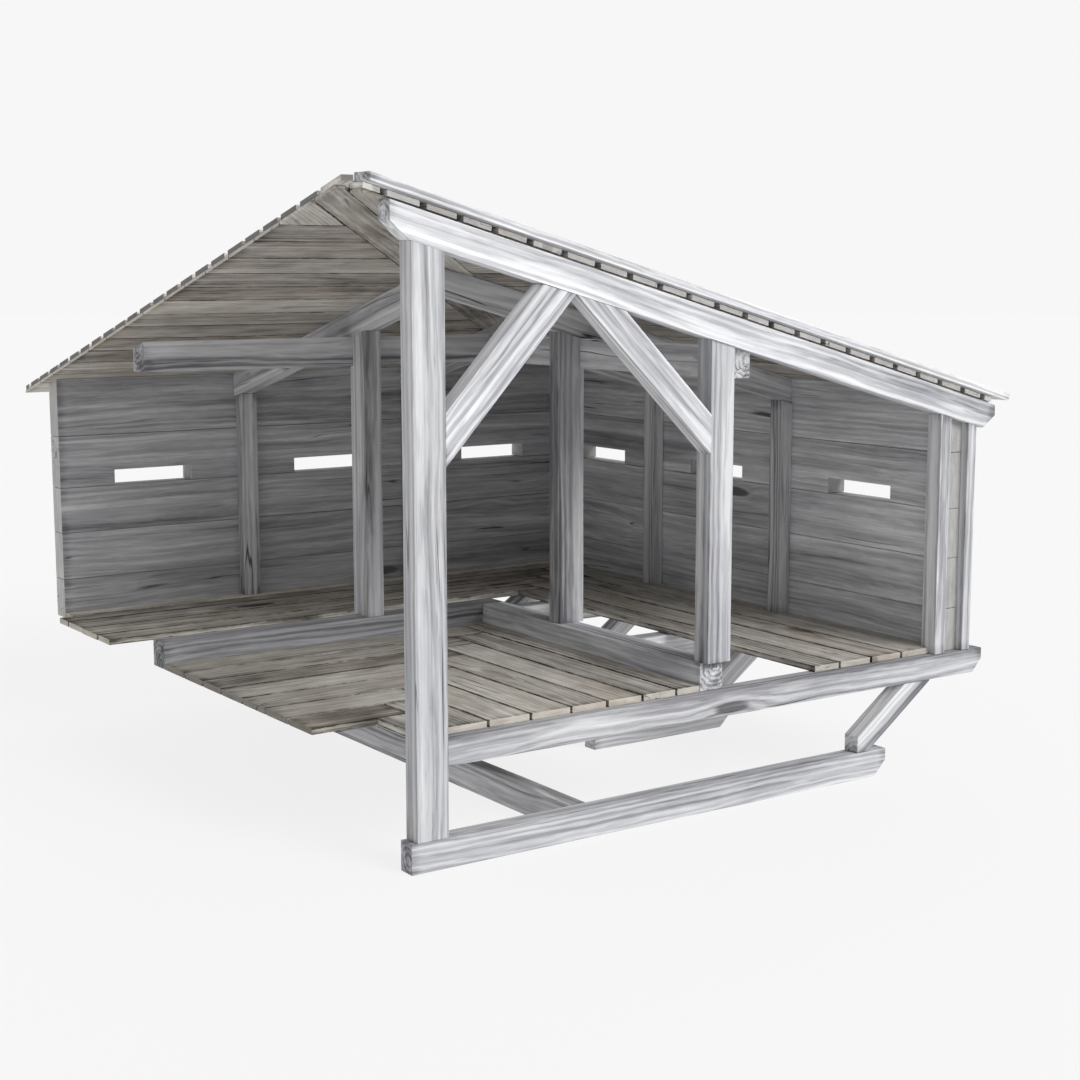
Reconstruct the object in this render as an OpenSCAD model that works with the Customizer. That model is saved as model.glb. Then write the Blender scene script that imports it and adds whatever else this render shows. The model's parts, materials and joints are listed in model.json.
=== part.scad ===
// Corner-shaped timber chicken coop: an L-shaped raised gallery with two slotted
// plank walls, a walkway deck, open inner sides and a hipped board roof.
// Millimetres, +Z up. X runs along the open front frame, Y runs back from it.
// The right wing lies along the right wall, the left wing is its mirror image
// about the vertical plane through the hip.

/* [Plan] */
// Distance of the mirror plane: left-wing Y = right-wing X plus this
wing_offset = 220; // [200:1:240]
// X of the left cut end of the decks, sill and purlin
left_end = -192; // [-200:1:-180]
// X of the inner face of the right sill
sill_x = 992; // [985:1:1000]
// X of the free inner edge of the outer walkway
walkway_x = 1452; // [1440:1:1470]
// X of the inner face of the right wall
wall_x = 2003; // [1990:1:2015]
// Thickness of the wall planks
wall_t = 78; // [60:1:90]
// Front face of the second cross frame
frame_a = 760; // [740:1:780]
// Front face of the third cross frame
frame_b = 1480; // [1460:1:1500]

/* [Heights] */
// Height of the ground beams
beam_h = 86; // [80:1:90]
// Underside of the deck joists
joist_z = 284; // [270:1:300]
// Height of the deck joists
joist_h = 80; // [75:1:90]
// Thickness of the deck boards
deck_t = 20; // [18:1:22]
// Height of the sills
sill_h = 86; // [80:1:92]

/* [Timber sections] */
// Thickness of the frame timbers across a frame
timber_t = 60; // [60:1:64]
// Width of the corner post along its frame
corner_post_w = 100; // [96:1:104]
// Width of the front mid post along its frame
post_w = 88; // [84:1:92]
// Width of the sills
sill_w = 88; // [84:1:92]
// Thickness of the inner wall studs
stud_t = 48; // [40:1:56]
// Width of the inner wall studs along the wall
stud_w = 66; // [60:1:70]
// Thickness of the outer wall battens
batten_t = 39; // [30:1:48]

/* [Roof] */
// Roof pitch in degrees
pitch = 15.2; // [14:0.1:16]
// Height of the underside of the front rafter above the corner post origin
rafter_z = 1678; // [1660:1:1700]
// Rafter height measured plumb
rafter_h = 87; // [80:1:92]
// Thickness of the soffit boards, measured plumb
soffit_t = 10; // [8:1:12]
// Thickness of the roof laths, measured plumb
lath_t = 16; // [12:1:20]
// Gap between neighbouring roof laths
lath_gap = 20; // [10:1:26]
// Thickness of the thin roof covering boards, measured plumb
cover_t = 5; // [4:1:8]
// Thickness of the rake board and hip cap, measured plumb
cap_t = 24; // [20:1:28]

/* [Hidden] */
$fn = 32;
c = wing_offset;
front_end = left_end + c;            // cut plane of boards in the front frame
z1 = beam_h;
z2 = joist_z;
z3 = joist_z + joist_h;
z4 = z3 + deck_t;
z5 = z3 + sill_h;
s = tan(pitch);
wall_o = wall_x + wall_t;
stud_x = wall_x - stud_t;
batten_o = wall_o + batten_t;
post_x = sill_x + 12;
post_o = post_x + post_w;
sill_o = sill_x + sill_w;
purlin_x = post_o - 12;              // purlins sit 12 deep in the mid posts
purlin_o = post_o + 77;
purlin_z = 1287;
beam_e = 1744;                       // outer end of ground beams
joist_e = 2177;                      // outer end of joists
rafter_e = 2203;                     // outer end of rafters
rafter_s = -61;                      // upper end of the front rafter
eave = 2215;                         // lower edge of soffit and laths
rake_e = 2262;                       // lower end of the rake board
peak = -123;                         // upper edge of the right roof slope
peak_l = 73 - c;                     // the same for the left slope, in its mirrored frame
cap_w = 24;                          // half width of the hip cap, measured along X
cap_s = -100;                        // upper end of the hip cap
hip_t = 12;                          // thickness of the hip cap, measured plumb
hip_w = 140;                         // hip soffit board, measured along X
lath_e = front_end + 14;             // left ends of the left laths, set back from the soffit
nose = 40 - c;                       // front face of the left wing's top lath
nose_y = 78;                         // where that lath meets the hip
strut_x = 1620;                      // foot of a strut
strut_s = 0.72;                      // rise per run of a strut
k0 = soffit_t;
k1 = soffit_t + lath_t;
k2 = k1 + cap_t;
ox = (left_end - 3 + rake_e) / 2;    // plan centre of the whole coop
oy = (-11 + eave + 24 + c) / 2;

function zb(x) = rafter_z - s * x;   // rafter underside
function zt(x) = zb(x) + rafter_h;   // rafter top

// edges of the boards
deck_x  = [5, 105, 245, 386, 525, 651, 778, 904, sill_x];
deck_y  = [224, 367, 507, 654, 798, 929, 1066, sill_x + c];
walk_x  = [walkway_x, 1562, 1697, 1832, wall_x];
walk_y  = [walkway_x + c, 1777, 1917, 2057, wall_x + c];
wall_left_end = -141;                   // free end of the left wall
walk_split = 2145;                      // last joint of the left walkway, in front of the wall foot
wall_z  = [z3, 504, 671, 833, 1017];
slots_r = [[265, 563], [1017, 1315], [1729, 2028]];
slots_l = [[283, 581], [1006, 1304], [1764, 2062]];
slot_h  = 55;
soffit_x = [-20, 161, 313, 479, 636, 786, 938, 1104, 1253, 1416, 1579, 1752, 1924, 2054, eave];
lath_x  = [-62, 54, 166, 274, 386, 500, 612, 723, 830, 936, 1040, 1148, 1250, 1354, 1460,
           1565, 1668, 1770, 1872, 1972, 2078, 2172];

grey  = [0.66, 0.66, 0.67];
beige = [0.58, 0.56, 0.52];
dark  = [0.45, 0.45, 0.46];

// ---- helpers ----
module put() translate([-ox, -oy, 0]) children();
module bx(x0, x1, y0, y1, za, zc) translate([x0, y0, za]) cube([x1 - x0, y1 - y0, zc - za]);
module xz(pts, y0, y1) translate([0, y1, 0]) rotate([90, 0, 0]) linear_extrude(y1 - y0) polygon(pts);
module swap() translate([-c, c, 0]) mirror([1, -1, 0]) children();
module plan(pts) linear_extrude(2600) polygon(pts);
module peg(x, y, z, l) translate([x, y, z]) rotate([-90, 0, 0]) cylinder(r = 6, h = l);
module peg_bore(x, y, z, l) translate([x, y, z]) rotate([-90, 0, 0]) cylinder(r = 6.05, h = l);

// ---- profiles of the repeated members, in the plane of their frame ----
module beam(xs, y0) xz([[xs, 0], [beam_e - 46, 0], [beam_e, 48], [beam_e, z1], [xs, z1]], y0, y0 + timber_t);
module joist(xs, y0) xz([[xs, z2], [joist_e - 39, z2], [joist_e, z2 + 44], [joist_e, z3], [xs, z3]], y0, y0 + timber_t);
module strut(y0) {
  xz([[strut_x, z1], [strut_x + 46, z1], [strut_x + 46 + (z2 - z1) / strut_s, z2],
      [strut_x + (z2 - z1 - 52) / strut_s, z2], [strut_x, z1 + 52]], y0, y0 + timber_t);
  strut_tenons(y0);
}
module strut_tenons(y0) {
  bx(strut_x + 6, strut_x + 36, y0 + 20, y0 + 40, z1 - 18, z1);
  bx(strut_x + 225, strut_x + 285, y0 + 20, y0 + 40, z2, z2 + 18);
}
module rafter(xs, y0) xz([[xs, zb(xs)], [rafter_e - 55, zb(rafter_e - 55)], [rafter_e, zb(rafter_e) + 53],
                          [rafter_e, zt(rafter_e)], [xs, zt(xs)]], y0, y0 + timber_t);
// sloping board of the right roof slope between two plumb offsets
module slab(xa, xb, y0, ya, yb, ka, kb) intersection() {
  xz([[xa, zt(xa) + ka], [xb, zt(xb) + ka], [xb, zt(xb) + kb], [xa, zt(xa) + kb]], y0, max(ya, yb) + 1);
  plan([[xa, y0], [xb, y0], [xb, yb], [xa, ya]]);
}

// ---- ground beams ----
module beam_front() color(grey) put() difference() {
  beam(-17, 0);
  bx(30, 70, 20, 40, z1 - 40, z1);
  strut_tenons(0);
  bx(560, 580, 40, 60, 25, 60);
  peg_bore(50, 10, z1 - 20, 60);
}
module beam_left_a() color(grey) put() {
  swap() difference() { union() { beam(60 - c, frame_a); bx(40 - c, 60 - c, frame_a + 20, frame_a + 40, 25, 60); }
    strut_tenons(frame_a); }
}
module beam_left_b() color(grey) put() swap() difference() { beam(1148, frame_b); strut_tenons(frame_b); }
module beam_right_a() color(grey) put() difference() { beam(1148, frame_a); strut_tenons(frame_a); }
module beam_right_b() color(grey) put() difference() { beam(frame_b - c + timber_t, frame_b); strut_tenons(frame_b); }

// ---- diagonal members under the far corner ----
diag_in = frame_b - c + timber_t;
diag_s = 996;                        // outward shift of the strut along the diagonal
module diagonal() intersection() {
  translate([0, c, 0]) rotate([0, 0, 45]) children();
  bx(diag_in, 2600, diag_in + c, 2900, -1, 2000);
}
module beam_corner() color(grey) put() difference() {
  diagonal() xz([[1500, 0], [2694, 0], [2740, 48], [2740, z1], [1500, z1]], -30, 30);
  translate([0, c, 0]) rotate([0, 0, 45]) translate([diag_s, 0, 0]) strut_tenons(-30);
}
module joist_corner() color(grey) put() difference() {
  diagonal() xz([[1500, z2], [3040, z2], [3079, z2 + 44], [3079, z3], [1500, z3]], -30, 30);
  translate([0, c, 0]) rotate([0, 0, 45]) translate([diag_s, 0, 0]) strut_tenons(-30);
}
module strut_corner() color(grey) put() translate([0, c, 0]) rotate([0, 0, 45]) translate([diag_s, 0, 0]) strut(-30);

// ---- posts ----
module corner_post() color(grey) put() difference() {
  union() {
    xz([[0, z1], [corner_post_w, z1], [corner_post_w, zb(corner_post_w)], [0, zb(0)]], 0, timber_t);
    bx(30, 70, 20, 40, z1 - 40, z1);
    xz([[30, zb(30)], [70, zb(70)], [70, zb(70) + 40], [30, zb(30) + 40]], 20, 40);
  }
  bx(corner_post_w - 25, corner_post_w, 20, 40, z2 + 15, z3 - 15);
  bx(corner_post_w - 25, corner_post_w, 20, 40, 1115, 1205);
  peg_bore(50, 10, z1 - 20, 60);
  peg_bore(50, 10, zb(50) + 20, 60);
  peg_bore(corner_post_w - 12, 10, z2 + 40, 60);
}
module mid_post_at(y0, t, w) difference() {
  union() {
    xz([[post_x, z5], [post_x + w, z5], [post_x + w, zb(post_x + w)], [post_x, zb(post_x)]], y0, y0 + t);
    bx(post_x + 24, post_x + 56, y0 + 22, y0 + 38, z5 - 20, z5);
    post_head(y0);
  }
  bx(purlin_x, post_x + w + 1, max(y0 - 1, front_end), y0 + t + 1, purlin_z, 1600);
  peg_bore(post_x + 40, y0 + 4, zb(post_x + 40) + 18, 60);
}
module post_head(y0) xz([[post_x + 24, zb(post_x + 24)], [post_x + 56, zb(post_x + 56)],
        [post_x + 56, zb(post_x + 56) + 36], [post_x + 24, zb(post_x + 24) + 36]], y0 + 22, y0 + 38);
module mid_post_front() color(grey) put() difference() {
  mid_post_at(6, 64, post_w);
  bx(post_x, post_x + 22, 20, 40, 1090, 1170);
}
module mid_post_right() color(grey) put() mid_post_at(frame_a, 64, post_w + 5);
module mid_post_left() color(grey) put() swap() mid_post_at(frame_a, 64, post_w + 5);
module end_post(x0, x1) xz([[x0, z3], [x1, z3], [x1, zb(x1)], [x0, zb(x0)]], 0, timber_t);
module end_post_inner() color(grey) put() end_post(stud_x, wall_x);
module end_post_outer() color(grey) put() end_post(wall_o, batten_o);
module stud(y0) xz([[stud_x, z4], [wall_x, z4], [wall_x, zb(wall_x)], [stud_x, zb(stud_x)]], y0, y0 + stud_w);
module stud_left_a() color(grey) put() swap() stud(frame_a + 5);
module stud_left_b() color(grey) put() swap() stud(frame_b);
module stud_right_a() color(grey) put() stud(frame_a - 10);
module stud_right_b() color(grey) put() stud(frame_b);
module batten(y0) xz([[wall_o, z3], [batten_o, z3], [batten_o, zb(batten_o)], [wall_o, zb(wall_o)]], y0, y0 + timber_t);
module wall_battens() color(grey) put() {
  batten(frame_a);
  batten(frame_b);
  swap() batten(frame_a);
  swap() batten(frame_b);
}

// ---- joists ----
module joist_front() color(grey) put() difference() {
  union() { joist(corner_post_w, 0); bx(corner_post_w - 25, corner_post_w, 20, 40, z2 + 15, z3 - 15); }
  strut_tenons(0);
  bx(560, 580, 40, 60, z2 + 20, z3 - 20);
  peg_bore(corner_post_w - 12, 10, z2 + 40, 60);
}
module joist_left_a() color(grey) put() difference() {
  swap() difference() {
    union() { joist(60 - c, frame_a); bx(40 - c, 60 - c, frame_a + 20, frame_a + 40, z2 + 20, z3 - 20); }
    strut_tenons(frame_a);
  }
  bx(580, 600, frame_a + 20, frame_a + 40, z2 + 20, z3 - 20);
  bx(540, 560, 510, 530, z2 + 15, z2 + 45);
}
module joist_left_b() color(grey) put() difference() {
  swap() difference() { joist(frame_b - c, frame_b); strut_tenons(frame_b); }
  bx(diag_in - 20, diag_in, frame_b + 20, frame_b + 40, z2 + 20, z3 - 20);
}
module joist_right_a() color(grey) put() difference() {
  union() { joist(600, frame_a); bx(580, 600, frame_a + 20, frame_a + 40, z2 + 20, z3 - 20); }
  strut_tenons(frame_a);
}
module joist_right_b() color(grey) put() difference() {
  union() { joist(diag_in, frame_b); bx(diag_in - 20, diag_in, frame_b + 20, frame_b + 40, z2 + 20, z3 - 20); }
  strut_tenons(frame_b);
}
module trimmer() color(grey) put() { bx(20, 540, 490, 550, z2, z3 - 20); bx(540, 560, 510, 530, z2 + 15, z2 + 45); }
module deck_cleats() color(grey) put() {
  bx(40, 100, 110, 720, z3 - 20, z3);
  bx(170, 230, 290, 720, z3 - 20, z3);
  bx(310, 370, 430, 720, z3 - 20, z3);
  bx(430, 490, 470, 720, z3 - 20, z3);
}

// ---- struts and braces ----
module strut_front() color(grey) put() strut(0);
module strut_right_a() color(grey) put() strut(frame_a);
module strut_right_b() color(grey) put() strut(frame_b);
module strut_left_a() color(grey) put() swap() strut(frame_a);
module strut_left_b() color(grey) put() swap() strut(frame_b);
apex = 520;
module brace_left() color(grey) put() {
  xz([[corner_post_w, 1090], [apex, zb(apex)], [411, zb(411)], [corner_post_w, 1233]], 0, timber_t);
  bx(corner_post_w - 25, corner_post_w, 20, 40, 1115, 1205);
  brace_head(435, 495);
}
module brace_head(xa, xb) xz([[xa, zb(xa)], [xb, zb(xb)], [xb, zb(xb) + 20], [xa, zb(xa) + 20]], 20, 40);
module brace_right() color(grey) put() {
  xz([[apex, zb(apex)], [post_x, 1073], [post_x, 1188], [690, zb(690)]], 0, timber_t);
  bx(post_x, post_x + 22, 20, 40, 1090, 1170);
  brace_head(560, 660);
}

// ---- sills and purlins ----
module sill(low) difference() {
  bx(sill_x, sill_o, front_end, sill_o + c, z3, z5);
  bx(sill_x - 1, sill_o + 1, sill_x + c, sill_o + c + 1, low ? z3 + 43 : z3 - 1, low ? z5 + 1 : z3 + 43);
}
module sill_right() color(grey) put() difference() {
  sill(true);
  bx(post_x + 24, post_x + 56, 28, 44, z5 - 20, z5);
  bx(post_x + 24, post_x + 56, frame_a + 22, frame_a + 38, z5 - 20, z5);
}
module sill_left() color(grey) put() swap() difference() {
  sill(false);
  bx(post_x + 24, post_x + 56, frame_a + 22, frame_a + 38, z5 - 20, z5);
}
module purlin() intersection() {
  xz([[purlin_x, purlin_z], [purlin_o, purlin_z], [purlin_o, zb(purlin_o)], [purlin_x, zb(purlin_x)]], front_end, 1600);
  plan([[purlin_x, front_end], [purlin_o, front_end], [purlin_o, purlin_o + c], [purlin_x, purlin_x + c]]);
}
module purlin_right() color(grey) put() purlin();
module purlin_left() color(grey) put() swap() purlin();

// ---- rafters ----
module rafter_front() color(grey) put() difference() {
  xz([[-5, zb(-5)], [rafter_e - 55, zb(rafter_e - 55)], [rafter_e, zb(rafter_e) + 53],
      [rafter_e, zt(rafter_e)], [rafter_s, zt(rafter_s)], [rafter_s, 1728]], 0, timber_t);
  xz([[30, zb(30)], [70, zb(70)], [70, zb(70) + 40], [30, zb(30) + 40]], 20, 40);
  post_head(6);
  brace_head(435, 495);
  brace_head(560, 660);
  peg_bore(50, 10, zb(50) + 20, 60);
  peg_bore(post_x + 40, 10, zb(post_x + 40) + 18, 60);
}
module common_rafter(y0) difference() {
  intersection() {
    rafter(y0 - c - 40, y0);
    plan([[y0 - c, y0], [rafter_e + 1, y0], [rafter_e + 1, y0 + timber_t], [y0 - c + timber_t, y0 + timber_t]]);
  }
  post_head(y0);
  peg_bore(post_x + 40, y0 + 4, zb(post_x + 40) + 18, 60);
}
module jack_rafter(y0) intersection() {
  rafter(y0 - c - 40, y0);
  plan([[y0 - c, y0], [rafter_e + 1, y0], [rafter_e + 1, y0 + timber_t], [y0 - c + timber_t, y0 + timber_t]]);
}
module rafter_right_a() color(grey) put() common_rafter(frame_a);
module rafter_left_a() color(grey) put() swap() common_rafter(frame_a);
module rafter_right_b() color(grey) put() jack_rafter(frame_b);
module rafter_left_b() color(grey) put() swap() jack_rafter(frame_b);

// ---- decks: boards meet in steps along the hip line ----
g = 3;                               // half of the joint between deck boards
gs = 1;                              // half of the joint between soffit boards
module deck_right() color(beige) put() for (i = [0:7]) difference() {
  bx(deck_x[i] + g, deck_x[i + 1] - (i == 7 ? 0 : g), front_end, (i == 7 ? sill_x + c : deck_y[i]) - 0.5, z3, z4);
  if (i == 0) bx(0, corner_post_w + 1, 0, timber_t + 1, 0, 500);
}
module deck_left() color(beige) put() for (j = [0:6])
  bx(left_end, deck_x[j + 1], deck_y[j] + g, deck_y[j + 1] - (j == 6 ? 0 : g), z3, z4);
module walkway_right() color(beige) put() for (i = [0:3]) difference() {
  bx(walk_x[i] + g, walk_x[i + 1] - (i == 3 ? 0 : g), front_end, walk_y[i] - 0.5, z3, z4);
  if (i == 3) bx(stud_x, wall_x + 1, 0, timber_t, 0, 500);
}
module walkway_left() color(beige) put() {
  for (j = [0:3])
    bx(left_end - (j == 1 ? 3 : 0), walk_x[j + 1], walk_y[j] + g, j == 3 ? walk_split - g : walk_y[j + 1] - g, z3, z4);
  bx(wall_left_end, walk_x[4], walk_split + g, walk_y[4], z3, z4);
}

// ---- plank walls: courses lap alternately at the far corner ----
module course(ya, k, through) bx(wall_x, wall_o, ya, (through ? wall_o : wall_x) + c, wall_z[k] + (k == 0 ? 0 : 0.6), k == 4 ? 1400 : wall_z[k + 1] - 0.6);
module lower(ya, right) for (k = [0:2]) course(ya, k, right == (k % 2 == 0));
module slotted(ya, right, slots) difference() {
  course(ya, 3, !right);
  for (q = slots) bx(wall_x - 1, wall_o + 1, q[0], q[1], wall_z[3] - 1, wall_z[3] + slot_h);
}
module top_course(ya, right) difference() {
  intersection() { course(ya, 4, right); under_roof2(); }
  for (y = [0, frame_a, frame_b]) rafter(1900, y);
}
// both slopes seen from either wing
module under_roof2() intersection() {
  xz([[-400, 0], [2400, 0], [2400, zt(2400)], [-400, zt(-400)]], -200, 2700);
  swap() xz([[-400, 0], [2400, 0], [2400, zt(2400)], [-400, zt(-400)]], -200, 2700);
}
module wall_right_lower() color(dark) put() lower(front_end, true);
module wall_right_slotted() color(dark) put() slotted(front_end, true, slots_r);
module wall_right_top() color(dark) put() top_course(front_end, true);
module wall_left_lower() color(dark) put() swap() lower(wall_left_end + c, false);
module wall_left_slotted() color(dark) put() swap() slotted(wall_left_end + c, false, slots_l);
module wall_left_top() color(dark) put() swap() top_course(wall_left_end + c, false);

// ---- roof ----
module soffit(top) {
  for (i = [0:len(soffit_x) - 2])
    slab(soffit_x[i] + gs, soffit_x[i + 1] - (i == len(soffit_x) - 2 ? 0 : gs), 40,
         soffit_x[i] + gs + c - hip_w - 1, soffit_x[i + 1] + c - hip_w - 1 - (i == len(soffit_x) - 2 ? 0 : gs), 0, k0);
  intersection() {
    xz([[top, zt(top)], [eave, zt(eave)], [eave, zt(eave) + k0], [top, zt(top) + k0]], 39, eave + c + 1);
    plan([[top, 40], [40 - c + hip_w, 40], [eave, eave + c - hip_w], [eave, eave + c], [top, top + c]]);
  }
}
module soffit_right() color(beige) put() soffit(peak);
module soffit_left() color(beige) put() swap() soffit(peak_l);
module laths(y0, top) {
  for (i = [0:len(lath_x)]) {
    xa = i == 0 ? top : lath_x[i - 1] + lath_gap / 2;
    xb = i == len(lath_x) ? eave : lath_x[i] - lath_gap / 2;
    slab(xa, xb, y0, xa + c, xb + c, k0, k1);
  }
}
module laths_right() color(beige) put() laths(front_end, peak);
module laths_left() color(beige) put() swap() {
  laths(lath_e, peak_l);
  intersection() {
    xz([[nose, zt(nose) + k0], [peak_l, zt(peak_l) + k0], [peak_l, zt(peak_l) + k1], [nose, zt(nose) + k1]], lath_e, 90);
    plan([[nose, lath_e], [peak_l, lath_e], [peak_l, nose_y], [nose, nose_y]]);
  }
  intersection() {
    xz([[peak_l - 1, zt(peak_l - 1) + k0], [lath_x[0] - 20, zt(lath_x[0] - 20) + k0], [lath_x[0] - 20, zt(lath_x[0] - 20) + k1], [peak_l - 1, zt(peak_l - 1) + k1]], lath_e, 90);
    plan([[peak_l - 1, lath_e], [peak_l + 2, lath_e], [nose_y - c, nose_y], [peak_l - 1, nose_y]]);
  }
}
module cover(y0, n, top) let (w = (eave + 20 + c - cap_w - y0) / n) for (j = [0:n - 1]) {
  ya = y0 + j * w + (j == 0 ? 0 : gs);
  yb = y0 + (j + 1) * w - (j == n - 1 ? 0 : gs);
  intersection() {
    xz([[top, zt(top) + k1], [eave + 20, zt(eave + 20) + k1], [eave + 20, zt(eave + 20) + k1 + cover_t],
        [top, zt(top) + k1 + cover_t]], y0 - 1, eave + c + 30);
    plan([[ya - c + cap_w, ya], [eave + 20, ya], [eave + 20, yb], [yb - c + cap_w, yb]]);
  }
}
module roof_cover() color(beige) put() { cover(73, 12, peak); swap() cover(front_end + 80, 12, peak_l); }
module rake_board() color(grey) put()
  xz([[peak, zt(peak) + k1], [rake_e - 7, zt(rake_e - 7) + k1], [rake_e, zt(rake_e) + k2], [peak, zt(peak) + k2]], -11, 73);
module cap_half(start) intersection() {
  xz([[peak - 60, zt(peak - 60) + k1], [eave + 24, zt(eave + 24) + k1], [eave + 24, zt(eave + 24) + k1 + hip_t], [peak - 60, zt(peak - 60) + k1 + hip_t]], 0, eave + c + 30);
  plan([start, [eave + 24, eave + 24 + c - cap_w], [eave + 24, eave + 24 + c], [cap_s, cap_s + c]]);
}
module hip_cap() color(grey) put() { cap_half([cap_s + cap_w, cap_s + c]); swap() cap_half([cap_s, cap_s + c - cap_w]); }

// ---- pegs through the tenons, bored from the back of the frame ----
module frame_pegs() color(beige) put() {
  peg(50, 10, z1 - 20, 50);
  peg(50, 10, zb(50) + 20, 50);
  peg(corner_post_w - 12, 10, z2 + 40, 50);
  peg(post_x + 40, 10, zb(post_x + 40) + 18, 50);
  peg(post_x + 40, frame_a + 4, zb(post_x + 40) + 18, 52);
  swap() peg(post_x + 40, frame_a + 4, zb(post_x + 40) + 18, 52);
}

beam_front();
beam_left_a();
beam_left_b();
beam_right_a();
beam_right_b();
beam_corner();
corner_post();
joist_front();
joist_left_a();
joist_left_b();
joist_right_a();
joist_right_b();
joist_corner();
trimmer();
deck_cleats();
strut_front();
strut_left_a();
strut_left_b();
strut_right_a();
strut_right_b();
strut_corner();
sill_left();
sill_right();
mid_post_front();
mid_post_left();
mid_post_right();
rafter_front();
rafter_left_a();
rafter_left_b();
rafter_right_a();
rafter_right_b();
purlin_left();
purlin_right();
brace_left();
brace_right();
end_post_inner();
end_post_outer();
stud_left_a();
stud_left_b();
stud_right_a();
stud_right_b();
wall_battens();
deck_left();
deck_right();
walkway_left();
walkway_right();
wall_left_lower();
wall_left_slotted();
wall_left_top();
wall_right_lower();
wall_right_slotted();
wall_right_top();
soffit_left();
soffit_right();
laths_left();
laths_right();
roof_cover();
rake_board();
hip_cap();
frame_pegs();
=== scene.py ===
import json
import math
import random

import bmesh
import bpy
from mathutils import Matrix, Vector, noise


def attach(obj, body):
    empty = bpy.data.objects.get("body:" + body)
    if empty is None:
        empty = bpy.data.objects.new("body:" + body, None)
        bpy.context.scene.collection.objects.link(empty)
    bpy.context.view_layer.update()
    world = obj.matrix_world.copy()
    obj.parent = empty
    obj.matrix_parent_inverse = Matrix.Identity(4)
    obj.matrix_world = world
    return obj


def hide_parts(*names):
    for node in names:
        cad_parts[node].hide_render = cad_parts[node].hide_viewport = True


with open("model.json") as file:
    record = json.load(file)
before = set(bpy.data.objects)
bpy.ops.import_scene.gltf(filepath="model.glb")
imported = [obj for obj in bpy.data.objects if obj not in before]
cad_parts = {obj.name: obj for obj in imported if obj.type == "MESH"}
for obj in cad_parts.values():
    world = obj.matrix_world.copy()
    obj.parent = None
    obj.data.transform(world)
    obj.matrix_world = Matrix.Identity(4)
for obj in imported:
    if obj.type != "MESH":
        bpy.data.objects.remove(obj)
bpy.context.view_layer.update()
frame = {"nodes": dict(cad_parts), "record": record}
scene = bpy.context.scene


# ------------------------------------------------------------------ camera
cam_data = bpy.data.cameras.new("camera")
cam_data.sensor_width = 36.0
cam_data.lens = 60.87
cam = bpy.data.objects.new("camera", cam_data)
cam.location = (-3.4373, -5.2828, 1.6064)
cam.rotation_euler = (math.radians(90 - 8.451), math.radians(0.029), math.radians(-34.621))
scene.collection.objects.link(cam)
scene.camera = cam
scene.view_settings.view_transform = "Standard"


# ------------------------------------------------------------------ node helpers
class Graph:
    """Builds a material's node tree with short calls."""

    def __init__(self, name):
        self.mat = bpy.data.materials.new(name)
        self.mat.use_nodes = True
        self.tree = self.mat.node_tree
        self.tree.nodes.clear()

    def node(self, kind, **props):
        n = self.tree.nodes.new(kind)
        for k, v in props.items():
            setattr(n, k, v)
        return n

    def put(self, socket, value):
        if isinstance(value, bpy.types.NodeSocket):
            self.tree.links.new(value, socket)
        else:
            socket.default_value = value

    def math(self, op, a, b=0.0, c=0.0, clamp=False):
        n = self.node("ShaderNodeMath", operation=op, use_clamp=clamp)
        for s, v in zip(n.inputs, (a, b, c)):
            self.put(s, v)
        return n.outputs[0]

    def vmath(self, op, a, b=(0, 0, 0), c=(0, 0, 0)):
        n = self.node("ShaderNodeVectorMath", operation=op)
        self.put(n.inputs[0], a)
        self.put(n.inputs[1], b)
        if op == "MULTIPLY_ADD":
            self.put(n.inputs[2], c)
        return n.outputs["Value"] if op in ("LENGTH", "DOT_PRODUCT", "DISTANCE") else n.outputs[0]

    def attr(self, name):
        return self.node("ShaderNodeAttribute", attribute_name=name)

    def noise(self, vec, scale=1.0, detail=2.0, rough=0.5, distort=0.0):
        n = self.node("ShaderNodeTexNoise", noise_dimensions="3D")
        self.put(n.inputs["Vector"], vec)
        n.inputs["Scale"].default_value = scale
        n.inputs["Detail"].default_value = detail
        n.inputs["Roughness"].default_value = rough
        n.inputs["Distortion"].default_value = distort
        return n.outputs["Fac"]

    def step(self, x, lo, hi, out_lo=0.0, out_hi=1.0):
        n = self.node("ShaderNodeMapRange", interpolation_type="SMOOTHSTEP")
        self.put(n.inputs["Value"], x)
        n.inputs["From Min"].default_value = lo
        n.inputs["From Max"].default_value = hi
        n.inputs["To Min"].default_value = out_lo
        n.inputs["To Max"].default_value = out_hi
        return n.outputs[0]

    def ramp(self, fac, stops):
        n = self.node("ShaderNodeValToRGB")
        e = n.color_ramp.elements
        while len(e) < len(stops):
            e.new(0.5)
        for el, (p, c) in zip(e, stops):
            el.position = p
            el.color = (c[0], c[1], c[2], 1.0)
        self.put(n.inputs["Fac"], fac)
        return n.outputs["Color"]

    def mix(self, fac, a, b, blend="MIX"):
        n = self.node("ShaderNodeMix", data_type="RGBA", blend_type=blend)
        self.put(n.inputs["Factor"], fac)
        ia = [s for s in n.inputs if s.name == "A" and s.type == "RGBA"][0]
        ib = [s for s in n.inputs if s.name == "B" and s.type == "RGBA"][0]
        self.put(ia, a if isinstance(a, bpy.types.NodeSocket) else (a[0], a[1], a[2], 1.0))
        self.put(ib, b if isinstance(b, bpy.types.NodeSocket) else (b[0], b[1], b[2], 1.0))
        return [s for s in n.outputs if s.type == "RGBA"][0]


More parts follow.
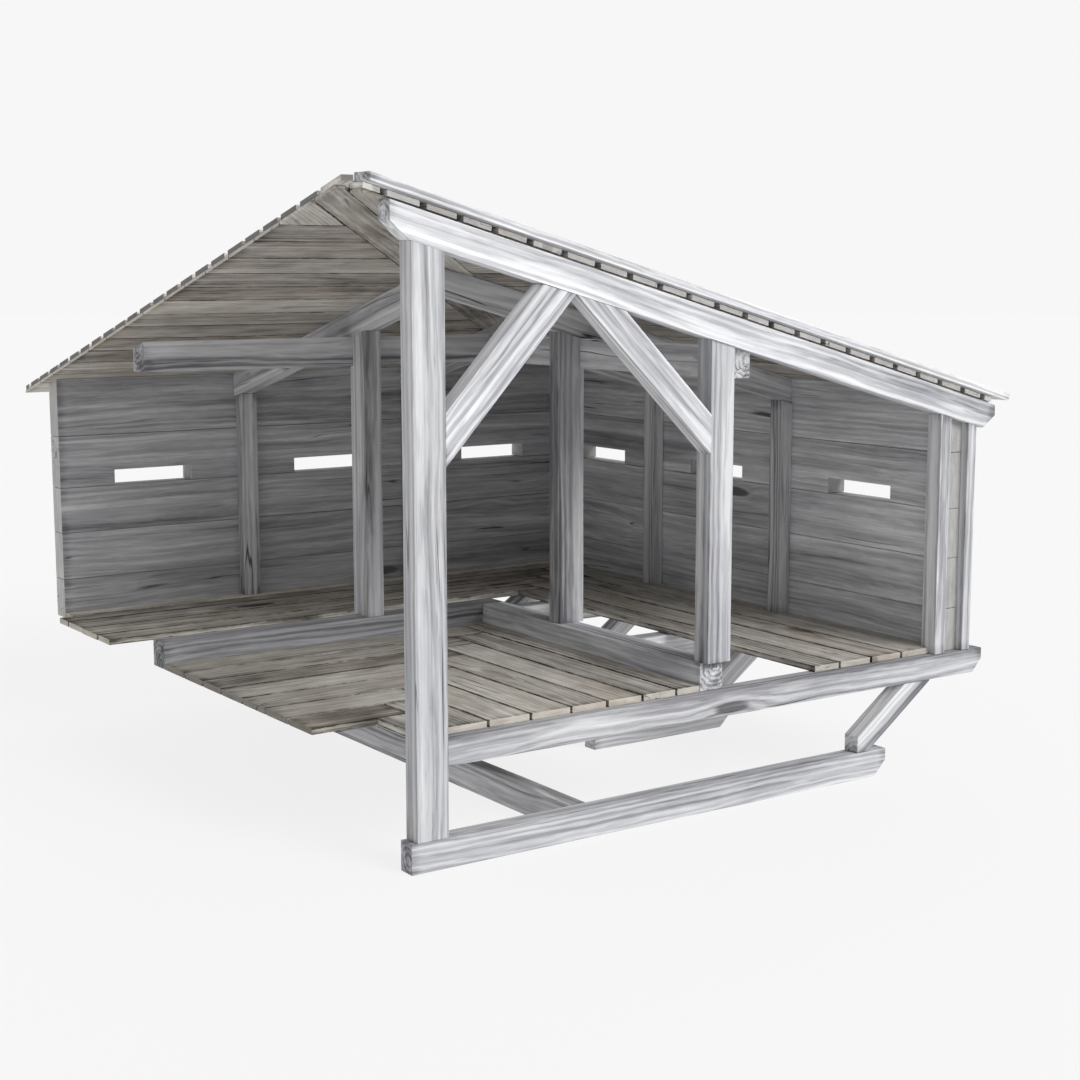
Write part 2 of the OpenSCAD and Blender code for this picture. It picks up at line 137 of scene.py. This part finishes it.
def wood(name, stops, tint, ring=0.32, streak=0.75, fibre=0.18, tone=0.25, ring_mm=11.0,
         streak_k=(1.3, 34.0, 34.0), knots=0.55, crack=0.8, edge=0.35, rough=0.86, bump=0.5, crack_col=(0.05, 0.05, 0.052),
         blotch=0.0, band=0.008, ring_pow=1.6, octaves=6.0, curl=5.0, curl_k=9.0, st_rough=0.62,
         flat_end=0.0, end_t=0.6, end_tint=(1.0, 1.0, 1.0), lines=0.0):
    """Weathered sawn timber. The texture is solid: it is read in each piece's own grain frame,
    so faces carry cathedrals and streaks along the length and ends carry rings."""
    g = Graph(name)
    loc = g.attr("loc").outputs["Vector"]
    half = g.attr("half").outputs["Vector"]
    seed = g.attr("seed").outputs["Vector"]
    tone_v = g.attr("tone").outputs["Fac"]
    gain_v = g.attr("gain").outputs["Fac"]
    p = g.vmath("ADD", loc, seed)

    # knots bend the grain around them
    kp = g.vmath("MULTIPLY", p, (1.9, 7.5, 7.5))
    vor = g.node("ShaderNodeTexVoronoi", feature="F1")
    g.put(vor.inputs["Vector"], kp)
    vor.inputs["Scale"].default_value = 1.0
    kd = vor.outputs["Distance"]
    pick = g.node("ShaderNodeSeparateColor")
    g.put(pick.inputs[0], vor.outputs["Color"])
    chosen = g.step(pick.outputs[0], 1.0 - knots, 1.0 - knots + 0.02)
    knot = g.math("MULTIPLY", g.step(kd, 0.10, 0.17, 1.0, 0.0), chosen)
    halo = g.math("MULTIPLY", g.step(kd, 0.05, 0.42, 1.0, 0.0), chosen)

    warp = g.noise(g.vmath("MULTIPLY", p, (1.1, 5.0, 5.0)), 1.0, 2.0, 0.5)
    warp = g.math("MULTIPLY", g.math("SUBTRACT", warp, 0.5), 0.05)
    warp = g.math("ADD", warp, g.math("MULTIPLY", halo, 0.022))
    comb = g.node("ShaderNodeCombineXYZ")
    g.put(comb.inputs[1], warp)
    g.put(comb.inputs[2], g.math("MULTIPLY", warp, -0.7))
    q = g.vmath("ADD", p, comb.outputs[0])

    # annual rings about a heart that lies off the piece and wanders along it
    heart = g.attr("heart").outputs["Vector"]
    r = g.vmath("ADD", g.vmath("ADD", loc, comb.outputs[0]), heart)
    r = g.vmath("MULTIPLY", r, (0.12, 1.0, 1.0))
    wave = g.node("ShaderNodeTexWave", wave_type="RINGS", rings_direction="X", wave_profile="SIN")
    g.put(wave.inputs["Vector"], r)
    wave.inputs["Scale"].default_value = 2 * math.pi / (20.0 * ring_mm / 1000.0)
    wave.inputs["Distortion"].default_value = curl
    wave.inputs["Detail"].default_value = 3.0
    wave.inputs["Detail Scale"].default_value = curl_k
    wave.inputs["Detail Roughness"].default_value = 0.55
    rings = g.math("POWER", wave.outputs["Fac"], ring_pow)

    st = g.noise(g.vmath("MULTIPLY", q, streak_k), 1.0, octaves, st_rough)
    wide = g.noise(g.vmath("MULTIPLY", q, (0.8, 9.0, 9.0)), 1.0, 3.0, 0.5)
    fi = g.noise(g.vmath("MULTIPLY", q, (7.0, 420.0, 420.0)), 1.0, 2.0, 0.6)

    def part(x, k):
        return g.math("MULTIPLY", g.math("SUBTRACT", x, 0.5), k)

    t = g.math("ADD", 0.5, part(rings, ring))
    t = g.math("ADD", t, part(st, streak * 2.0))
    t = g.math("ADD", t, part(wide, streak * 1.1))
    if blotch:
        spots = g.noise(g.vmath("MULTIPLY", p, (7.0, 16.0, 16.0)), 1.0, 4.0, 0.6)
        t = g.math("ADD", t, part(spots, blotch * 2.0))
    t = g.math("ADD", t, part(fi, fibre))
    if lines:
        fine = g.noise(g.vmath("MULTIPLY", q, (0.5, 120.0, 120.0)), 1.0, 3.0, 0.6)
        t = g.math("ADD", t, part(fine, lines))
    t = g.math("ADD", t, g.math("MULTIPLY", tone_v, tone))
    t = g.math("SUBTRACT", t, g.math("MULTIPLY", knot, 0.5))
    t = g.math("SUBTRACT", t, g.math("MULTIPLY", halo, 0.10))

    # distance to the arrises and to the ends
    gap = g.vmath("SUBTRACT", half, g.vmath("ABSOLUTE", loc))
    sg = g.node("ShaderNodeSeparateXYZ")
    g.put(sg.inputs[0], gap)
    jag = g.math("MULTIPLY", g.math("SUBTRACT", g.noise(g.vmath("MULTIPLY", p, (22.0, 60.0, 60.0)), 1.0, 3.0, 0.6), 0.5), 0.012)
    side = g.math("ADD", g.math("MAXIMUM", sg.outputs[1], sg.outputs[2]), jag)
    wear = g.step(side, 0.001, band, 1.0, 0.0)
    ends = g.step(g.math("ADD", sg.outputs[0], g.math("MULTIPLY", g.math("SUBTRACT", st, 0.5), 0.08)), 0.0, 0.035, 1.0, 0.0)
    t = g.math("ADD", t, g.math("MULTIPLY", wear, edge * 0.5))
    t = g.math("SUBTRACT", t, g.math("MULTIPLY", ends, 0.16))

    # sawn ends: plain on boards, ringed on heavy timbers
    geo = g.node("ShaderNodeNewGeometry")
    axis = g.attr("axis").outputs["Vector"]
    facing = g.math("ABSOLUTE", g.vmath("DOT_PRODUCT", geo.outputs["True Normal"], axis))
    sawn = g.step(facing, 0.6, 0.85)
    if flat_end:
        plain = g.noise(g.vmath("MULTIPLY", p, (60.0, 14.0, 90.0)), 1.0, 3.0, 0.55)
        plain = g.math("ADD", end_t, part(plain, 0.5))
        k = g.math("MULTIPLY", sawn, flat_end)
        t = g.math("ADD", g.math("MULTIPLY", t, g.math("SUBTRACT", 1.0, k)), g.math("MULTIPLY", plain, k))

    # drying cracks along the grain
    cn = g.noise(g.vmath("MULTIPLY", q, (0.75, 19.0, 19.0)), 1.0, 2.0, 0.4)
    line = g.step(g.math("ABSOLUTE", g.math("SUBTRACT", cn, 0.5)), 0.0, 0.011, 1.0, 0.0)
    where = g.step(g.noise(g.vmath("MULTIPLY", p, (2.2, 5.0, 5.0)), 1.0, 1.0, 0.5), 0.54, 0.62)
    cracks = g.math("MULTIPLY", g.math("MULTIPLY", line, where), crack)

    col = g.ramp(t, stops)
    stain = g.noise(g.vmath("MULTIPLY", p, (1.6, 3.2, 3.2)), 1.0, 3.0, 0.55)
    col = g.mix(g.step(stain, 0.42, 0.72, 0.0, 0.75), col, g.mix(1.0, col, tint, "MULTIPLY"))
    col = g.mix(g.math("MULTIPLY", knot, 0.55), col, g.mix(1.0, col, (0.45, 0.40, 0.36), "MULTIPLY"))
    col = g.mix(cracks, col, crack_col)
    # sawn end faces scaled by the per-part end gain and tint: partly end-grain tone, partly painted light on lath and
    # soffit ends that sit in shade under the rake board
    end_g = g.attr("end_gain").outputs["Fac"]
    tint_e = g.node("ShaderNodeCombineXYZ")
    for i in range(3):
        g.put(tint_e.inputs[i], g.math("MULTIPLY", end_g, end_tint[i]))
    col = g.mix(sawn, col, g.vmath("MULTIPLY", col, tint_e.outputs[0]))
    # whole-part gain: partly the part's own tone, partly painted light and shade that lifts shaded walls and laths and
    # darkens posts standing in shade
    lift = g.node("ShaderNodeCombineXYZ")
    for i in range(3):
        g.put(lift.inputs[i], gain_v)
    col = g.vmath("MULTIPLY", col, lift.outputs[0])

    h = g.math("ADD", g.math("MULTIPLY", st, 0.8), g.math("MULTIPLY", fi, 0.35))
    h = g.math("ADD", h, g.math("MULTIPLY", rings, 0.25))
    h = g.math("SUBTRACT", h, g.math("MULTIPLY", cracks, 1.6))
    b = g.node("ShaderNodeBump")
    b.inputs["Strength"].default_value = bump
    b.inputs["Distance"].default_value = 0.0022
    g.put(b.inputs["Height"], h)

    bs = g.node("ShaderNodeBsdfPrincipled")
    g.put(bs.inputs["Base Color"], col)
    g.put(bs.inputs["Roughness"], g.math("ADD", rough - 0.08, g.math("MULTIPLY", st, 0.16)))
    bs.inputs["Specular IOR Level"].default_value = 0.25
    g.put(bs.inputs["Normal"], b.outputs[0])
    out = g.node("ShaderNodeOutputMaterial")
    g.put(out.inputs["Surface"], bs.outputs[0])
    return g.mat


GREY = [(0.10, (0.17, 0.17, 0.182)), (0.34, (0.40, 0.402, 0.42)), (0.56, (0.60, 0.603, 0.62)), (0.84, (0.80, 0.802, 0.815))]
WALL = [(0.10, (0.13, 0.131, 0.138)), (0.36, (0.28, 0.282, 0.292)), (0.60, (0.42, 0.422, 0.435)), (0.86, (0.60, 0.602, 0.615))]
DECK = [(0.08, (0.045, 0.040, 0.034)), (0.34, (0.20, 0.187, 0.168)), (0.58, (0.335, 0.317, 0.290)), (0.86, (0.50, 0.482, 0.452))]
SOFF = [(0.08, (0.05, 0.044, 0.038)), (0.34, (0.22, 0.203, 0.184)), (0.58, (0.36, 0.340, 0.312)), (0.86, (0.53, 0.510, 0.480))]
LATH = [(0.08, (0.16, 0.154, 0.145)), (0.34, (0.36, 0.350, 0.333)), (0.58, (0.52, 0.510, 0.492)), (0.86, (0.70, 0.692, 0.675))]

MATS = {
    "frame_timber": wood("frame_timber", GREY, (0.82, 0.83, 0.86), ring=0.24, ring_mm=15.0, streak=0.62, streak_k=(0.22, 26.0, 26.0), tone=0.05,
                         knots=0.02, crack=0.9, edge=-0.06, ring_pow=1.2, lines=0.55, fibre=0.32, bump=0.65, octaves=5.0, curl=3.2, curl_k=3.0, st_rough=0.56),
    "wall_planks": wood("wall_planks", WALL, (0.84, 0.85, 0.87), ring=0.13, ring_mm=15.0, streak=0.56, streak_k=(1.3, 26.0, 26.0), tone=0.03,
                        knots=0.05, crack=0.9, edge=0.0, lines=0.46, fibre=0.26, bump=0.6, curl=4.0, curl_k=5.0, flat_end=0.9, end_t=0.62, end_tint=(1.0, 0.98, 0.93)),
    "deck_boards": wood("deck_boards", DECK, (0.86, 0.80, 0.73), ring=0.20, streak=0.36, streak_k=(0.8, 26.0, 26.0), tone=0.18, knots=0.30, crack=0.9, lines=0.25,
                        edge=-0.8, blotch=0.32, band=0.005, curl=3.5, curl_k=4.0, flat_end=0.85, end_t=0.58, end_tint=(1.12, 1.12, 1.10)),
    # soffit board ends tinted lighter (end_tint 1.3): painted light on ends that sit in shade under the laths and rake
    # board
    "soffit_boards": wood("soffit_boards", SOFF, (0.86, 0.80, 0.73), ring=0.18, streak=0.32, streak_k=(0.8, 24.0, 24.0), tone=0.20, knots=0.25, crack=0.7, lines=0.20,
                          edge=-1.1, blotch=0.34, band=0.006, curl=3.5, curl_k=4.0, flat_end=0.85, end_t=0.7, end_tint=(1.3, 1.3, 1.28)),
    "roof_laths": wood("roof_laths", LATH, (0.86, 0.82, 0.77), ring=0.2, streak=0.5, tone=0.12, edge=0.0, flat_end=0.85, end_t=0.62),
    "roof_trim": wood("roof_trim", GREY, (0.86, 0.85, 0.84), ring=0.24, ring_mm=15.0, streak=0.55, streak_k=(0.25, 26.0, 26.0), tone=0.05, knots=0.1,
                      octaves=5.0, curl=3.2, curl_k=3.0, st_rough=0.56, lines=0.4, fibre=0.25),
    "pegs": wood("pegs", DECK, (0.8, 0.74, 0.66), knots=0.0),
}


# ------------------------------------------------------------------ timbers
def solids_of(mesh):
    """The connected pieces of a mesh, each as a bmesh with clean planar faces."""
    bm = bmesh.new()
    bm.from_mesh(mesh)
    bmesh.ops.remove_doubles(bm, verts=bm.verts, dist=1e-5)
    bmesh.ops.dissolve_limit(bm, angle_limit=math.radians(0.5), verts=bm.verts, edges=bm.edges)
    bm.verts.ensure_lookup_table()
    seen, out = set(), []
    for v in bm.verts:
        if v.index in seen:
            continue
        stack, part = [v], []
        seen.add(v.index)
        while stack:
            a = stack.pop()
            part.append(a)
            for e in a.link_edges:
                o = e.other_vert(a)
                if o.index not in seen:
                    seen.add(o.index)
                    stack.append(o)
        part.sort(key=lambda q: q.index)
        faces = sorted({f for q in part for f in q.link_faces}, key=lambda f: f.index)
        nb = bmesh.new()
        m = {q.index: nb.verts.new(q.co) for q in part}
        for f in faces:
            try:
                nb.faces.new([m[q.index] for q in f.verts])
            except ValueError:
                pass
        nb.normal_update()
        out.append(nb)
    bm.free()
    return out


def grain_frame(bm):
    """Axes (length, width, thickness) of a timber from its longest edges and broadest face."""
    sums = {}
    for e in bm.edges:
        d = e.verts[1].co - e.verts[0].co
        n = d.length
        if n < 1e-6:
            continue
        d = d / n
        k = max(range(3), key=lambda i: abs(d[i]))
        if d[k] < 0:
            d = -d
        key = tuple(round(c, 2) for c in d)
        s = sums.setdefault(key, [Vector((0, 0, 0)), 0.0, 0.0])
        s[0] += d * n
        s[1] = max(s[1], n)
        s[2] += n
    best = max(sums.values(), key=lambda s: s[1] + 0.001 * s[2])
    u = best[0].normalized()
    area = {}
    for f in bm.faces:
        if abs(f.normal.dot(u)) > 0.35:
            continue
        n = f.normal.copy()
        k = max(range(3), key=lambda i: abs(n[i]))
        if n[k] < 0:
            n = -n
        key = tuple(round(c, 1) for c in n)
        s = area.setdefault(key, [Vector((0, 0, 0)), 0.0])
        s[0] += n * f.calc_area()
        s[1] += f.calc_area()
    w = max(area.values(), key=lambda s: s[1])[0].normalized()
    w = (w - u * w.dot(u)).normalized()
    v = w.cross(u).normalized()
    return u, v, w


def wander(bm, rot, lo, hi, seed, amount):
    """Cuts a timber into short bays and draws its outer faces inwards by a slow wave."""
    u = rot[0]
    long = hi[0] - lo[0]
    bays = int(long / 0.17)
    for i in range(1, bays):
        at = lo[0] + long * i / bays
        bmesh.ops.bisect_plane(bm, geom=bm.verts[:] + bm.edges[:] + bm.faces[:], dist=1e-5, plane_co=u * at, plane_no=u)
    for q in bm.verts:
        p = rot @ q.co
        move = Vector((0.0, 0.0, 0.0))
        for k in (1, 2):
            for side, edge in ((1, lo[k]), (-1, hi[k])):
                if abs(p[k] - edge) < 1e-4:
                    n = noise.noise(Vector((p[0] * 2.6 + seed[0], 7.3 * k + 3.1 * side + seed[1], seed[2])))
                    move += rot[k] * (side * amount[k - 1] * max(0.0, min(1.0, 0.45 + 0.9 * n)))
        q.co += move


def piece_mesh(name, node_obj, bevel, rng, amount, gain, end_gain):
    """One visual mesh for a node: every timber of it bevelled, subdivided and worn inwards."""
    out = bmesh.new()
    layers = {k: out.verts.layers.float_vector.new(k) for k in ("loc", "half", "seed", "heart", "axis")}
    tone_l = out.verts.layers.float.new("tone")
    gain_l = out.verts.layers.float.new("gain")
    end_l = out.verts.layers.float.new("end_gain")
    for bm in solids_of(node_obj.data):
        u, v, w = grain_frame(bm)
        rot = Matrix((u, v, w))
        pts = [rot @ q.co for q in bm.verts]
        lo = Vector([min(p[i] for p in pts) for i in range(3)])
        hi = Vector([max(p[i] for p in pts) for i in range(3)])
        mid, half = (lo + hi) / 2, (hi - lo) / 2
        seed = Vector([rng.uniform(-40, 40) for _ in range(3)])
        heart = Vector((rng.uniform(-3, 3), rng.uniform(-1.2, 1.2) * half[1], rng.choice((-1, 1)) * (half[2] + rng.uniform(0.02, 0.10))))
        if half[1] < 0.062 and half[2] > 0.02:
            heart = Vector((rng.uniform(-3, 3), rng.uniform(-0.6, 0.6) * half[1], rng.uniform(-0.8, 0.8) * half[2]))
        tone = rng.uniform(-1, 1)
        wander(bm, rot, lo, hi, seed, amount)
        wd = min(bevel, half[2] * 0.35)
        edges = [e for e in bm.edges if len(e.link_faces) == 2 and e.calc_face_angle(0) > 0.3 and e.calc_length() > 0.012]
        bmesh.ops.bevel(bm, geom=edges, offset=wd, segments=2, profile=0.6, affect="EDGES", clamp_overlap=True)
        base = len(out.verts)
        index = {}
        for q in bm.verts:
            index[q] = out.verts.new(q.co)
        for f in bm.faces:
            try:
                nf = out.faces.new([index[q] for q in f.verts])
                nf.smooth = False
            except ValueError:
                pass
        for q, nv in index.items():
            nv[layers["loc"]] = rot @ q.co - mid
            nv[layers["half"]] = half
            nv[layers["seed"]] = seed
            nv[layers["heart"]] = heart
            nv[layers["axis"]] = u
            nv[tone_l] = tone
            nv[gain_l] = gain
            nv[end_l] = end_gain
        bm.free()
    me = bpy.data.meshes.new(name)
    out.to_mesh(me)
    out.free()
    return me


# Per-part colour gain: partly each part's own tone, partly painted light and shade. It lifts the walls, walkway, decks
# and right laths that the lamps leave dark inside the shed and under the rake board. It darkens the mid posts that
# stand in shade.
PART_TONE_AND_PAINTED_LIGHT = {
    "corner_post": 0.76, "joist_front": 0.78, "beam_front": 0.84, "rafter_front": 0.98, "brace_left": 1.06, "brace_right": 0.96,
    "mid_post_front": 0.74, "mid_post_left": 0.72, "mid_post_right": 0.70, "sill_left": 0.54, "sill_right": 1.00,
    "purlin_left": 0.82, "purlin_right": 0.86, "wall_left_lower": 1.18, "wall_left_slotted": 1.18, "wall_left_top": 1.10,
    "wall_right_lower": 1.38, "wall_right_slotted": 1.38, "wall_right_top": 1.30, "walkway_left": 1.75, "walkway_right": 1.14,
    "deck_left": 1.14, "deck_right": 1.26, "soffit_left": 1.26, "soffit_right": 1.0, "laths_left": 1.5, "laths_right": 1.6,
    "rake_board": 1.04, "hip_cap": 0.8, "roof_cover": 0.74, "wall_battens": 0.8,
}
# Per-part gain on sawn end faces: partly the end grain's own tone, partly painted light that lifts the right lath ends
# lying in the rake board's shadow.
END_TONE_AND_PAINTED_LIGHT = {"laths_left": 0.24, "deck_left": 0.55, "walkway_left": 0.8, "laths_right": 1.25, "wall_right_lower": 0.62, "wall_right_slotted": 0.62, "wall_right_top": 0.62,
            "purlin_left": 0.7, "soffit_left": 0.8}
AMOUNT = {"frame_timber": (0.0016, 0.0012), "wall_planks": (0.0004, 0.0004), "deck_boards": (0.0028, 0.0006), "soffit_boards": (0.0030, 0.0006),
          "roof_laths": (0.002, 0.0006), "roof_trim": (0.0015, 0.0008), "pegs": (0.0, 0.0)}
slots = {s["node"]: s["material_slot"] for s in frame["record"]["subparts"]}
rng = random.Random(20240611)
for node in sorted(frame["nodes"]):
    src = frame["nodes"][node]
    slot = slots[node]
    bevel = {"frame_timber": 0.0026, "wall_planks": 0.0010, "roof_trim": 0.003, "pegs": 0.001}.get(slot, 0.002)
    me = piece_mesh("timber_" + node, src, bevel, rng, AMOUNT[slot], PART_TONE_AND_PAINTED_LIGHT.get(node, 0.86 if slot == "frame_timber" else 1.0),
                    END_TONE_AND_PAINTED_LIGHT.get(node, 1.0))
    ob = bpy.data.objects.new("timber_" + node, me)
    scene.collection.objects.link(ob)
    me.materials.append(MATS[slot])
    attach(ob, "root")
    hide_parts(node)


# ------------------------------------------------------------------ stage and light
def flat_material(name, emit, base):
    g = Graph(name)
    e = g.node("ShaderNodeEmission")
    e.inputs["Color"].default_value = (emit, emit, emit, 1)
    e.inputs["Strength"].default_value = 1.0
    out = g.node("ShaderNodeOutputMaterial")
    if base:
        d = g.node("ShaderNodeBsdfDiffuse")
        d.inputs["Color"].default_value = (base, base, base, 1)
        a = g.node("ShaderNodeAddShader")
        g.put(a.inputs[0], e.outputs[0])
        g.put(a.inputs[1], d.outputs[0])
        g.put(out.inputs["Surface"], a.outputs[0])
    else:
        g.put(out.inputs["Surface"], e.outputs[0])
    return g.mat


bpy.ops.mesh.primitive_circle_add(vertices=96, radius=60.0, fill_type="NGON", location=(0, 0, -0.0005))
floor = bpy.context.object
floor.name = "floor"
floor.data.materials.append(flat_material("floor_pale", 0.822, 0.10))
bpy.ops.mesh.primitive_uv_sphere_add(segments=48, ring_count=24, radius=62.0, location=(0, 0, 0))
dome = bpy.context.object
dome.name = "backdrop"
dome.data.materials.append(flat_material("backdrop_pale", 0.93, 0))
dome.visible_diffuse = dome.visible_glossy = dome.visible_shadow = dome.visible_transmission = False

world = bpy.data.worlds.new("studio")
world.use_nodes = True
world.node_tree.nodes["Background"].inputs["Color"].default_value = (1, 1, 1, 1)
world.node_tree.nodes["Background"].inputs["Strength"].default_value = 0.60
scene.world = world


def sun(name, toward, energy, angle):
    d = bpy.data.lights.new(name, "SUN")
    d.energy = energy
    d.angle = math.radians(angle)
    o = bpy.data.objects.new(name, d)
    o.rotation_euler = Vector(toward).normalized().to_track_quat("-Z", "Y").to_euler()
    scene.collection.objects.link(o)
    return o


sun("key", (-0.30, 1.0, -0.678), 2.6, 32)
sun("rim", (-0.7, -0.8, -0.6), 0.7, 50)
